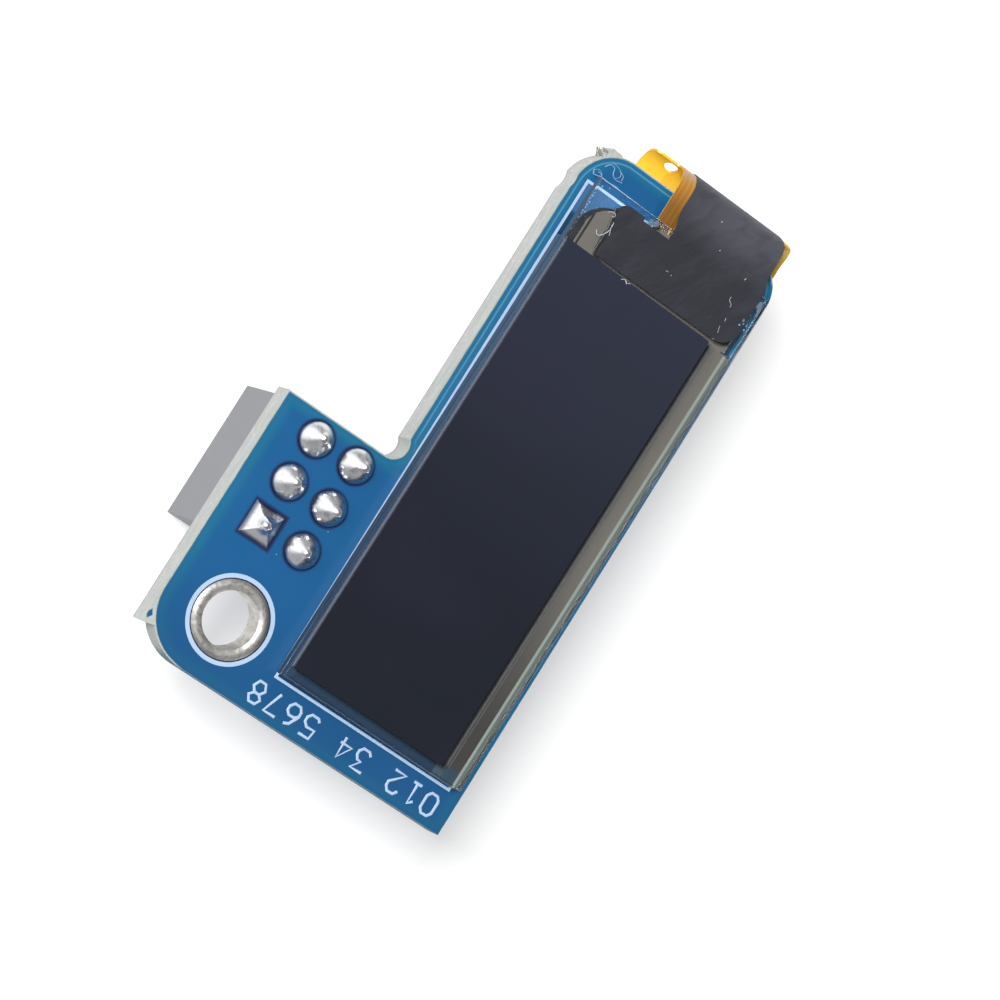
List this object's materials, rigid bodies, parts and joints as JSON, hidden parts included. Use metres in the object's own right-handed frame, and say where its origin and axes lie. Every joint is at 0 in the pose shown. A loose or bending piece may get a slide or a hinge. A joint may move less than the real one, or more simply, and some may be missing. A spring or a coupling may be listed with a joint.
{
  "type": "small OLED display module",
  "caption": "Small organic LED display module: glass panel on an L-shaped circuit board with a folded flex cable, a pin socket below the tab and a mounting hole.",
  "frame": {"origin": "centre of the pin socket's mating face, the lowest face of the part", "axes": "+Z out of the display's face, +Y along the display arm towards the folded flex, +X from the socket's tab towards the display"},
  "size_m": [0.0198, 0.0358, 0.0116],
  "materials": {
    "board": "glossy blue solder mask over glass-fibre laminate, pale cut edges",
    "tinned_ring": "rounded tinned copper",
    "socket": "moulded grey plastic",
    "contact": "stamped spring strip, thinly gilt",
    "solder": "bright drawn-up solder",
    "adhesive": "dark foam adhesive",
    "glass": "clear display glass with ground edges",
    "polarizer": "dark neutral film, slightly purple",
    "traces": "grey-brown thin metal traces",
    "seal": "cured resin",
    "desiccant": "white drying sheet",
    "die": "polished silicon",
    "flex": "amber polyimide over copper traces",
    "tape": "black polymer tape with faint creases",
    "ceramic": "tan ceramic with tinned ends",
    "thick_film": "black glaze with tinned ends"
  },
  "bodies": {
    "root": {"pcb": "board", "hole_plating": "tinned_ring", "socket_housing": "socket", "socket_contact_1": "contact", "socket_contact_2": "contact", "socket_contact_3": "contact", "socket_contact_4": "contact", "socket_contact_5": "contact", "socket_contact_6": "contact", "solder_joint_1": "solder", "solder_joint_2": "solder", "solder_joint_3": "solder", "solder_joint_4": "solder", "solder_joint_5": "solder", "solder_joint_6": "solder", "adhesive_pad": "adhesive", "cap_glass": "glass", "desiccant_sheet": "desiccant", "edge_seal": "seal", "trace_film": "traces", "display_glass": "glass", "polarizer": "polarizer", "driver_chip": "die", "flex_cable": "flex", "flex_solder": "solder", "black_tape": "tape", "capacitor_1": "ceramic", "capacitor_2": "ceramic", "capacitor_3": "ceramic", "capacitor_4": "ceramic", "capacitor_5": "ceramic", "resistor_1": "thick_film", "resistor_2": "thick_film", "resistor_3": "thick_film", "chip_solder": "solder"}
  },
  "joints": []
}
